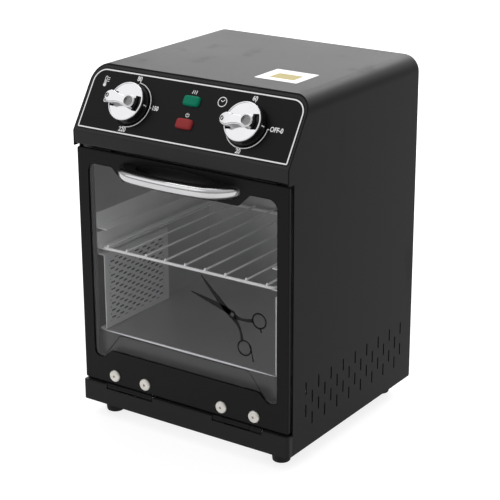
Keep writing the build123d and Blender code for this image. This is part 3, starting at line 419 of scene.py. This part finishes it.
def bead_row(name, centres, radii, look, body):
    """Row of closed beads as one mesh: each is an ellipsoid, its radii times the sine and cosine of two
    angles, on a grid whose poles are closed by merging."""
    turn, fall = np.meshgrid(np.linspace(0, 2 * pi, 17), np.linspace(0, pi, 11))
    ball = np.stack([np.sin(fall) * np.cos(turn), np.sin(fall) * np.sin(turn), np.cos(fall)], -1) * radii
    centres = np.asarray(centres, float)
    points = centres[:, None] + ball.reshape(1, -1, 3)
    faces = np.arange(len(centres))[:, None, None] * turn.size + grid_faces(*turn.shape)
    made = sheet_mesh(name, (points.reshape(-1, 3) / 1000).tolist(), faces.reshape(-1, 4).tolist())
    made.shade_smooth()
    return fix(name, made, look, body)


rack_low, rack_high = box_mm("wire_rack")
wire_count, rail_radius, wire_edge = 9, 1.5, 7.2                # wire_edge: rail to the first wire
bead_radii, bead_back, bead_drop = (1.35, 1.1, 1.7), 1.25, 0.7
wire_reach = rack_high.x - rail_radius - wire_edge
wire_x = np.linspace(-wire_reach, wire_reach, wire_count)
bead_y, bead_z = rack_low.y + bead_back, rack_high.z - bead_drop
wire_ends = np.stack([wire_x, np.full(wire_count, bead_y), np.full(wire_count, bead_z)], -1)
# The beads take the painted-bright wire colour, a painted glint on each wire end.
bead_row("rack_wire_ends", wire_ends, bead_radii, painted_bright_wire, "rack")

# ---------------------------------------- chamber floor's hem
# The liner's floor is folded back on itself at its front edge. A thin near-white bead runs along the
# fold from wall to wall, a painted highlight for the light caught on the fold's edge.
hem_short, hem_back, hem_high = 7.6, 0.5, 0.25  # from the liner's side, its front and the floor
hem_radii = (liner_high.x - hem_short, 0.8, 1.1)
hem_middle = (0.0, liner_low.y + hem_back, guard_low.z + hem_high)
hem_highlight_finish = finish("hem_painted_highlight")
hem_grain = hem_highlight_finish.noise(500.0, 3.0, (0.05, 1.0, 1.0))
hem_highlight_finish.surface(
    Base_Color=hem_highlight_finish.mix(hem_grain, (0.92, 0.92, 0.92), (1.0, 1.0, 1.0)),
    Metallic=0.1,
    Roughness=0.2 + 0.1 * hem_grain,
)
bead_row("chamber_floor_hem", [hem_middle], hem_radii, hem_highlight_finish, "cabinet")

# ---------------------------------------- insulation, seal, electrical blocks, magnets
# A wrap of mineral fibre round the chamber, an extruded silicone seal round its mouth, cream mouldings
# for the terminal block and thermal cut-out, and pressed ferrite blocks that hold the door shut.
wool = finish("mineral_wool")
fibre = wool.noise(260.0, 6.0, (1.0, 1.0, 0.2))
wool.surface(
    Base_Color=wool.mix(fibre, (0.33, 0.30, 0.20), (0.54, 0.51, 0.38)),
    Roughness=0.95,
    Normal=wool.bump(fibre, 0.0004, 0.8),
)
wear(wool, "insulation")

silicone = finish("grey_silicone")
chalk = silicone.noise(300.0, 3.0)
silicone.surface(
    Base_Color=silicone.mix(chalk, (0.040, 0.040, 0.041), (0.060, 0.060, 0.061)),
    Roughness=0.60 + 0.2 * chalk,
)
wear(silicone, "door_seal")

cream = finish("cream_moulding")
cream_grain = cream.noise(800.0)
cream.surface(
    Base_Color=cream.mix(cream.noise(40.0), (0.55, 0.53, 0.46), (0.64, 0.62, 0.56)),
    Roughness=0.45 + 0.15 * cream_grain,
    Normal=cream.bump(cream_grain, 0.00002, 0.4),
)
wear(cream, "terminal_block", "thermal_cutout")

ferrite = finish("pressed_ferrite")
ferrite_grain = ferrite.noise(1600.0, 4.0)
ferrite.surface(
    Base_Color=ferrite.mix(ferrite_grain, (0.018, 0.018, 0.018), (0.045, 0.044, 0.043)),
    Roughness=0.6 + 0.2 * ferrite_grain,
)
wear(ferrite, "door_magnets")

# ---------------------------------------- door glass
# Clear toughened pane, held by clips behind the door frame. Only its outer faces reflect, and its
# ground edges, whose normals turn away from the pane's own, are dark green.
glass = finish("clear_glass")
sheen = glass.node("ShaderNodeFresnel", {}, IOR=1.45)
inside = glass.node("ShaderNodeNewGeometry", {}, out="Backfacing")
smear = glass.noise(22.0, 4.0)
clear = glass.node("ShaderNodeBsdfTransparent", {}, Color=(0.945, 0.947, 0.95))
gloss = glass.node("ShaderNodeBsdfGlossy", {}, Color=(0.9, 0.9, 0.9), Roughness=0.02 + 0.05 * smear)
pane = glass.node("ShaderNodeMixShader", {}, sheen * (1.0 - inside), clear, gloss)
ground = glass.node("ShaderNodeBsdfPrincipled", {}, Base_Color=(0.012, 0.028, 0.022), Roughness=0.35)
normal = glass.node("ShaderNodeTexCoord", {}, out="Normal")
facing = glass.node("ShaderNodeSeparateXYZ", {}, normal, out="Y").size()
edge_facing = 0.4                              # a normal's share along the pane's own is less on an edge
glass.join(glass.node("ShaderNodeMixShader", {}, facing < edge_facing, pane, ground))
wear(glass, "door_glass")


# ---------------------------------------- printed line and scissors on the glass
# Black ceramic ink, screened on the pane's outer face and fired: a thin frame line over the sill and
# a pair of scissors.
def unit(vectors):
    return vectors / np.linalg.norm(vectors, axis=-1, keepdims=True)


def rounded(corners, radii, steps=9):
    """Path through corners, each rounded by an arc that touches both of its sides: the arc's centre lies
    on the halving line, at radius over the sine of half the angle, and its points turn evenly from one
    touch to the other."""
    corners = np.array(corners, float)
    before, at, after = corners[:-2], corners[1:-1], corners[2:]
    one, two = unit(before - at), unit(after - at)
    half = np.arccos(np.sum(one * two, -1, keepdims=True)) / 2
    radii = np.broadcast_to(radii, len(at))[:, None]
    centre = at + unit(one + two) * radii / np.sin(half)
    start, end = at + one * radii / np.tan(half) - centre, at + two * radii / np.tan(half) - centre
    turn, share = pi - 2 * half[:, None], np.linspace(0, 1, steps)[None, :, None]
    arcs = (np.sin((1 - share) * turn) * start[:, None] + np.sin(share * turn) * end[:, None]) / np.sin(turn)
    return np.vstack([corners[:1], (centre[:, None] + arcs).reshape(-1, 2), corners[-1:]])


def ring(x, y, radii, start=0.0, end=360.0, steps=49):
    """Arc about x, y: its radii times the cosine and sine of an angle that grows evenly from start to
    end, in degrees."""
    angle = np.radians(np.linspace(start, end, steps))
    wide, tall = np.broadcast_to(radii, 2)
    return np.stack([x + wide * np.cos(angle), y + tall * np.sin(angle)], -1)


def ribbon(path, width):
    """Strip along a path: each edge is the path moved half the width along its normal. The width may
    change from point to point, and a path that ends where it starts gives a closed strip."""
    path = np.asarray(path, float)
    if np.allclose(path[0], path[-1]):
        step = np.roll(path[:-1], -1, 0) - np.roll(path[:-1], 1, 0)
        step = np.vstack([step, step[:1]])
    else:
        step = np.gradient(path, axis=0)
    normal = unit(np.stack([-step[:, 1], step[:, 0]], -1))
    aside = normal * np.broadcast_to(width, len(path))[:, None] / 2
    return np.stack([path + aside, path - aside], 1)


def disc(x, y, radius, steps=17):
    """Filled circle as a strip: its two edges are the upper and lower half circles, a hair short of
    their meeting."""
    hair = 0.03
    angle = np.linspace(hair, pi - hair, steps)
    across, tall = x - radius * np.cos(angle), radius * np.sin(angle)
    return np.stack([np.stack([across, y + tall], -1), np.stack([across, y - tall], -1)], 1)


def raised(name, strips, surface, look, body, height=0.06, sunk=0.02):
    """Thin shapes printed or stuck on a surface. Each strip's section is a flat rectangle between its
    two edges, from just under the surface to the height over it, carried along the strip. Open strips
    have closed ends."""
    section = ((0, -sunk), (0, height), (1, height), (1, -sunk))
    side = np.arange(4)
    beside = (side + 1) % 4
    points, faces, start = [], [], 0
    for edges in strips:
        closed = np.allclose(edges[0], edges[-1])
        edges = edges[:-1] if closed else edges
        count = len(edges)
        grid = [surface(edges[:, edge, 0], edges[:, edge, 1], level) for edge, level in section]
        points.append(np.stack(grid, 1).reshape(-1, 3))
        row = np.arange(count if closed else count - 1)[:, None] * 4
        after = (row + 4) % (4 * count)
        walls = np.stack([row + side, row + beside, after + beside, after + side], -1).reshape(-1, 4)
        ends = np.array([side[::-1], 4 * (count - 1) + side])
        faces.append(start + (walls if closed else np.vstack([walls, ends])))
        start += 4 * count
    made = sheet_mesh(name, np.vstack(points).tolist(), np.vstack(faces).tolist())
    return fix(name, made, look, body)


pane_front = box_mm("door_glass")[0].y
foot_height = 15.0                             # bench to the case's bottom edge


def on_glass(x, z, high):
    """Point on the pane: x across it, z above the case's bottom and high in front of it, in mm."""
    return np.stack([x, np.full_like(x, pane_front) - high, z + foot_height], -1) / 1000


black_ink = finish("black_ceramic_ink")
ink_grain = black_ink.noise(2400.0)
black_ink.surface(
    Base_Color=black_ink.mix(black_ink.noise(300.0), (0.004, 0.004, 0.004), (0.009, 0.009, 0.009)),
    Roughness=0.5 + 0.15 * ink_grain,
    Specular_IOR_Level=0.2,
)
sill_foot, sill_top = (91.0, 54.0), (74.6, 75.0)                # right ends of the line's two runs
sill_corners = [(-sill_foot[0], sill_foot[1]), (-sill_top[0], sill_top[1]), sill_top, sill_foot]
sill_line = ribbon(rounded(sill_corners, 6.0), 0.8)
raised("glass_sill_line", [sill_line], on_glass, black_ink, "door")

pivot = np.array([56.6, 126.2])
share = np.linspace(0, 1, 25)[:, None]


def blade(tip, bow):
    """Scissor blade from its tip to nearly the pivot. It widens by a root-like power of the way from the
    tip, less a little near the pivot. Its back takes all of that and its cutting edge under a third."""
    tip = np.array(tip)
    along = pivot - tip
    back = unit(np.array([-along[1], along[0]])) * bow
    line = tip + along * share * 0.95
    swell = 0.09 + share**0.7 * (1.0 - 0.2 * share**3)
    return np.stack([line + back * swell, line - back * swell * 0.28], 1)


def shank(points, start, end):
    """Curved arm as a ribbon: a quadratic curve on three points. Its width goes evenly from start to
    end and is drawn in by a sine, by a third at the middle."""
    first, middle, last = (np.array(point) for point in points)
    line = (1 - share) ** 2 * first + 2 * share * (1 - share) * middle + share**2 * last
    way = share[:, 0]
    return ribbon(line, (start + (end - start) * way) * (1.0 - 0.35 * np.sin(pi * way)))


finger_ring, thumb_ring = (86.2, 126.5), (70.0, 96.6)
ring_radius, ring_band = 7.1, 1.7
scissors = [
    blade((22.1, 158.1), -4.9),
    blade((10.7, 139.1), 4.9),
    ribbon(ring(*pivot, 3.0), 2.4),
    shank([pivot + (2.6, -0.8), (66.0, 122.0), (79.6, 125.4)], 5.2, 3.6),
    shank([pivot + (1.6, -2.6), (66.5, 116.0), (67.4, 103.6)], 5.6, 3.2),
    ribbon(ring(*finger_ring, ring_radius), ring_band),
    ribbon(ring(*thumb_ring, ring_radius), ring_band),
    shank([(86.6, 119.6), (88.0, 118.6), (88.3, 115.6)], 3.4, 1.8),
    shank([(75.6, 101.0), (78.0, 95.0), (79.7, 85.0)], 2.0, 1.8),
]
raised("glass_scissors_mark", scissors, on_glass, black_ink, "door")

# ---------------------------------------- handle body, knobs, lamp bodies, cord gland
# Black phenolic mouldings. The steel of the mould leaves a fine satin grain on them, a little duller
# in patches.
moulded = finish("black_moulding")
tool_grain = moulded.noise(1000.0)
moulded.surface(
    Base_Color=moulded.mix(moulded.noise(50.0), (0.0045, 0.0045, 0.0050), (0.0080, 0.0080, 0.0085)),
    Roughness=0.26 + 0.12 * tool_grain,
    Specular_IOR_Level=0.3,
    Normal=moulded.bump(tool_grain, 0.00002, 0.4),
)
wear(moulded, "handle_body", "temperature_knob", "timer_knob", "cord_gland", "lamp_bodies")

# ---------------------------------------- handle cover and knob caps
# Castings, polished and chrome plated. Polishing leaves faint waves and hairlines, and makes the
# handle's cover a little fuller than its section. The cover and the caps are two copies of the chrome
# in different colours, the caps' paler: painted light and shade for how each catches the room.
cover_low, cover_high = box_mm("handle_cover")
cover_middle, cover_half = (cover_low.z + cover_high.z) / 2, (cover_high.z - cover_low.z) / 2
cover_crown = 0.0020                           # in m
# dark and pale differ between cover and caps as painted light and shade.
for name, dark, pale, dull, worn in (
    ("handle", (0.56, 0.56, 0.57), (0.66, 0.66, 0.67), 0.10, ("handle_cover",)),
    ("cap", (0.68, 0.68, 0.695), (0.74, 0.74, 0.755), 0.09, ("temperature_knob_cap", "timer_knob_cap")),
):
    chrome = finish(f"chrome_{name}")
    wave = chrome.noise(45.0)
    hairline = chrome.noise(900.0, 3.0, (0.08, 1.0, 1.0))
    polish = chrome.bump(wave, 0.0002, 0.25)
    if name == "handle":
        # The crown falls off by the square of the way to the cover's edges.
        way = (chrome.spot()[2] - cover_middle) * (1 / cover_half)
        polish = chrome.bump(1.0 - way * way, cover_crown, Normal=polish)
    chrome.surface(
        Base_Color=chrome.mix(wave, dark, pale),
        Metallic=1.0,
        Roughness=dull + 0.05 * wave + 0.04 * hairline,
        Normal=polish,
    )
    wear(chrome, *worn)

# ---------------------------------------- panel film and its white print
# Thin satin film over the sloping fascia, screen-printed in white. The print is a frame line, the
# scales of the two dials with their figures, and small signs in place of words.
film = finish("panel_film")
film_grain = film.noise(2600.0)
film.surface(
    Base_Color=film.mix(film.noise(17.0, 3.0), (0.0040, 0.0038, 0.0042), (0.0060, 0.0058, 0.0062)),
    Roughness=0.34 + 0.08 * film_grain,
    Specular_IOR_Level=0.13,
    Normal=film.bump(film_grain, 0.00001, 0.4),
)
wear(film, "panel_overlay")

white_ink = finish("white_screen_ink")
ink_weave = white_ink.noise(1800.0, 3.0)
white_ink.surface(
    Base_Color=white_ink.mix(ink_weave, (0.88, 0.88, 0.88), (0.96, 0.96, 0.96)),
    Roughness=0.5 + 0.15 * ink_weave,
)
slope_setback, slope_rise = 37.5, 57.8
slope_foot = foot_height + 273.0               # bench to the slope's lower bend
slope = Vector((slope_setback, slope_rise)).normalized()
film_thick = 0.4


def on_panel(u, v, high):
    """Point over the sloping panel: u across, v up the slope from its lower bend, high above the film,
    in mm."""
    lift = film_thick + high
    y, z = front + v * slope.x - lift * slope.y, slope_foot + v * slope.y + lift * slope.x
    return np.stack([u, y, z], -1) / 1000


dial_u, dial_v, scale_radius = 64.5, 33.2, 21.6
scale_line, clock_line, hand_line, sign_line = 0.8, 0.75, 0.65, 0.6
tube_line, mercury_line = 0.55, 0.7            # outline of the thermometer, and the column in it
frame_half, frame_low, frame_high, frame_width = 115.5, 5.0, 62.7, 1.25
frame_corners = [
    (0, frame_low), (-frame_half, frame_low), (-frame_half, frame_high),
    (frame_half, frame_high), (frame_half, frame_low), (0, frame_low),
]
marks = [
    ribbon(rounded(frame_corners, (0.9, 12.5, 12.5, 0.9)), frame_width),
    ribbon(ring(-dial_u, dial_v, scale_radius, 84, -92), scale_line),
    ribbon(ring(dial_u, dial_v, scale_radius, -2, -152), scale_line),
]
tick_ends = (scale_radius - 0.4, scale_radius + 1.6)
for side, angle in ((-1, 84), (-1, 0), (-1, -92), (1, 88), (1, -2), (1, -88)):
    spoke = np.array([cos(radians(angle)), sin(radians(angle))])
    marks.append(ribbon((side * dial_u, dial_v) + np.outer(tick_ends, spoke), scale_line))

stem = np.array([-101.5, 51.0])                # of the thermometer, as is all down to its scale
tube = [stem + step for step in ((-1.1, -2.0), (-1.1, 5.2), (1.1, 5.2), (1.1, -2.0))]
marks += [
    disc(*(stem + (0.0, -3.2)), 1.7),
    ribbon(rounded(tube, 1.0), tube_line),
    ribbon([stem + (0.0, -3.0), stem + (0.0, 1.8)], mercury_line),
]
marks += [ribbon([stem + (2.0, rise), stem + (4.2, rise)], tube_line) for rise in (0.4, 2.2, 4.0)]

clock = np.array([31.7, 50.0])
marks += [
    ribbon(ring(*clock, 4.4), clock_line),
    ribbon([clock, clock + (2.2, 2.2)], hand_line),
    ribbon([clock + (0.2, 0.1), clock + (-1.7, 1.2)], hand_line),
]

heat_sign, power_sign = np.array([0.0, 54.6]), np.array([0.0, 32.6])
height_share = np.linspace(-1, 1, 15)
for step in (-2.0, 0.0, 2.0):
    wave_u, wave_v = step + 0.45 * np.sin(pi * height_share), 1.7 * height_share
    marks.append(ribbon(heat_sign + np.stack([wave_u, wave_v], -1), sign_line))
marks += [
    ribbon(ring(*power_sign, 1.7, 125, 415, 25), sign_line),
    ribbon([power_sign, power_sign + (0.0, 2.1)], sign_line),
]
raised("panel_marks", marks, on_panel, white_ink, "cabinet")


def lettering(name, labels, look, body, narrow=0.84, depth=0.04):
    """Figures as one mesh. Each is set in the plain built-in face, centred, thickened to depth,
    narrowed, and laid on the panel by its across, up-slope and outward directions."""
    points, faces, start = [], [], 0
    for text, u, v, size in labels:
        curve = bpy.data.curves.new(name, "FONT")
        curve.body, curve.size, curve.extrude, curve.offset = text, size, depth, 0.03 * size
        curve.align_x, curve.align_y = "CENTER", "CENTER"
        holder = bpy.data.objects.new(name, curve)
        made = bpy.data.meshes.new_from_object(holder)
        flat = np.empty(len(made.vertices) * 3)
        made.vertices.foreach_get("co", flat)
        flat = flat.reshape(-1, 3)
        points.append(on_panel(u + narrow * flat[:, 0], v + flat[:, 1], flat[:, 2]))
        faces += [[start + corner for corner in face.vertices] for face in made.polygons]
        start += len(flat)
        bpy.data.objects.remove(holder)
        bpy.data.meshes.remove(made)
        bpy.data.curves.remove(curve)
    return fix(name, sheet_mesh(name, np.vstack(points).tolist(), faces), look, body)


figures = [
    ("80", -64.0, 58.4, 6.2), ("150", -36.8, 33.4, 5.8), ("220", -65.2, 8.9, 6.2),
    ("OFF", -92.5, 33.5, 5.8), ("60", 64.0, 57.8, 6.2), ("20", 63.5, 8.6, 6.2), ("OFF-0", 95.2, 32.9, 6.2),
]
lettering("panel_figures", figures, white_ink, "cabinet")

# ---------------------------------------- marks on the knobs
# A white pointer line on each knob's skirt, a dark oval on the tip of its grip bar, and a dark metal
# disc in the round recess at the bar's nose, which paints the shade seen in that hollow.
# Painted shade: the nose disc is dark metal standing in for the black seen in the hollow.
turned = finish("nose_disc_painted_shade")
disc_noise = turned.noise(500.0, 3.0)
turned.surface(
    Base_Color=turned.mix(disc_noise, (0.12, 0.12, 0.12), (0.34, 0.34, 0.34)),
    Metallic=0.9,
    Roughness=0.28 + 0.2 * disc_noise,
)
skirt_radius = 19.35
grip_tip, grip_middle, grip_nose = -19.0, -3.45, 12.1           # along the bar
tip_rise, middle_rise, nose_rise = 19.0, 15.2, 13.4             # the bar's top at these
recess_rise = 12.2
bar_top = np.polyfit((grip_tip, grip_middle, grip_nose), (tip_rise, middle_rise, nose_rise), 2)


def mark_knob(name, side, turn):
    """Marks of one dial, which rides on its own body. The dial rests turned by an angle."""

    def on_knob(u, v, high):
        """Point over the sheet: u along the grip bar and v across it, turned to the rest angle."""
        out = np.broadcast_to(high, np.shape(u)) - film_thick
        beside, upward = u * cos(turn) - v * sin(turn), u * sin(turn) + v * cos(turn)
        return on_panel(side * dial_u + beside, dial_v + upward, out)

    def on_bar(u, v, high):
        """Point over the bar's top, whose height is a quadratic of the way along it."""
        return on_knob(u, v, np.polyval(bar_top, u) + high)

    def on_skirt(angle, rise, high):
        """Point on the skirt: an angle round the axis, rise above the sheet and high outward."""
        return on_knob((skirt_radius + high) * np.cos(angle), (skirt_radius + high) * np.sin(angle), rise)

    def on_recess(u, v, high):
        """Point over the floor of the nose's recess."""
        return on_knob(u, v, recess_rise + high)

    body = f"{name}_dial"
    pointer = ribbon([(-turn, 3.4), (-turn, 7.6)], 0.05)
    tip_mark = ribbon(ring(-16.0, 0.0, (1.0, 1.75), steps=25), 0.55)
    nose_disc = disc(6.1, 0.0, 4.3)
    raised(f"{name}_knob_pointer", [pointer], on_skirt, white_ink, body, 0.12, 0.3)
    raised(f"{name}_knob_tip_mark", [tip_mark], on_bar, black_ink, body, 0.05, 0.5)
    raised(f"{name}_knob_nose_disc", [nose_disc], on_recess, turned, body, 0.35, 0.02)


mark_knob("temperature", -1, radians(-3.0))
mark_knob("timer", 1, radians(7.0))

# ---------------------------------------- lamp lenses
# Clear coloured resin, moulded as a pillow-shaped cap with ribs inside and pressed into the panel.
# Red stands for power and green for heating.
lens_half, lens_high, lens_square = (8.9, 5.1), 3.0, 5.0        # lens_square: power of the superellipse
around, inward = np.meshgrid(np.linspace(0, 2 * pi, 65), np.linspace(0, 1, 15))


def pillow(rise):
    """Closed lens: a superellipse outline that draws in from its seat to one point at its top, by a
    small power of a cosine, while its height grows by nearly a sine, so the wall is steep and the top
    nearly flat."""
    reach = np.where(inward < 1, np.cos(inward * pi / 2) ** 0.28, 0.0)
    high = np.sin(inward * pi / 2) ** 0.9 * lens_high
    square = np.abs(np.cos(around)) ** lens_square + np.abs(np.sin(around)) ** lens_square
    outline = square ** (-1 / lens_square)
    u = lens_half[0] * reach * outline * np.cos(around)
    v = rise + lens_half[1] * reach * outline * np.sin(around)
    return on_panel(u, v, high)


for name, colour, rise, deep, pale in (
    ("power_lamp_lens", "red", 23.9, (0.25, 0.022, 0.026), (0.43, 0.058, 0.058)),
    ("run_lamp_lens", "green", 45.8, (0.0, 0.155, 0.082), (0.0, 0.285, 0.165)),
):
    grid = pillow(rise)
    seat = [list(range(grid.shape[1] - 1))]
    faces = grid_faces(*grid.shape[:2]).tolist() + seat
    shell = sheet_mesh(name + "_cap", grid.reshape(-1, 3).tolist(), faces)
    shell.shade_smooth()
    resin = finish(name + "_resin")
    bands = {"wave_type": "BANDS", "bands_direction": "X"}
    rib = resin.node("ShaderNodeTexWave", bands, resin.place(), Scale=260.0)
    depth = resin.node("ShaderNodeSeparateColor", {}, rib)
    resin.surface(
        Base_Color=resin.mix(0.35 * depth + 0.3 * resin.noise(140.0), deep, pale),
        Roughness=0.16 + 0.08 * resin.noise(400.0),
        Specular_IOR_Level=0.10,
    )
    cap = fix(name + "_cap", shell, resin, "cabinet")
    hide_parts(name)


# ---------------------------------------- plate stuck on the top
# A blank plate of white vinyl film, stuck on the top sheet near its front right corner, with one
# plain yellow bar.
top = box_mm("case_shell")[1].z


def on_top(x, y, high):
    """Point on the top sheet: x across, y back from the fascia plane, high above it, in mm."""
    return np.stack([x, front + y, np.full_like(x, top) + high], -1) / 1000


def field(x, y, wide, deep, corner):
    """Filled rectangle with rounded corners as a strip: its edges run across at a depth that follows
    the corners' quarter circles."""
    angle = np.linspace(0, pi / 2, 7)
    end = wide / 2 - corner + corner * np.sin(angle)
    half = deep / 2 - corner + corner * np.cos(angle)
    along = np.concatenate([-end[::-1], end])
    half = np.concatenate([half[::-1], half])
    return np.stack([np.stack([x + along, y + half], -1), np.stack([x + along, y - half], -1)], 1)


for name, dark, pale, shape, height in (
    ("top_plate", (0.80, 0.80, 0.80), (0.88, 0.88, 0.88), (61.3, 85.3, 45.3, 38.6, 1.2), 0.08),
    ("top_plate_bar", (0.40, 0.335, 0.125), (0.44, 0.370, 0.150), (62.5, 83.0, 26.0, 17.0, 1.5), 0.10),
):
    vinyl = finish(name + "_vinyl")
    vinyl_grain = vinyl.noise(900.0, 3.0)
    vinyl.surface(
        Base_Color=vinyl.mix(vinyl_grain, dark, pale),
        Roughness=0.45 + 0.15 * vinyl_grain,
        Specular_IOR_Level=0.08,
    )
    raised(name, [field(*shape)], on_top, vinyl, "cabinet", height)
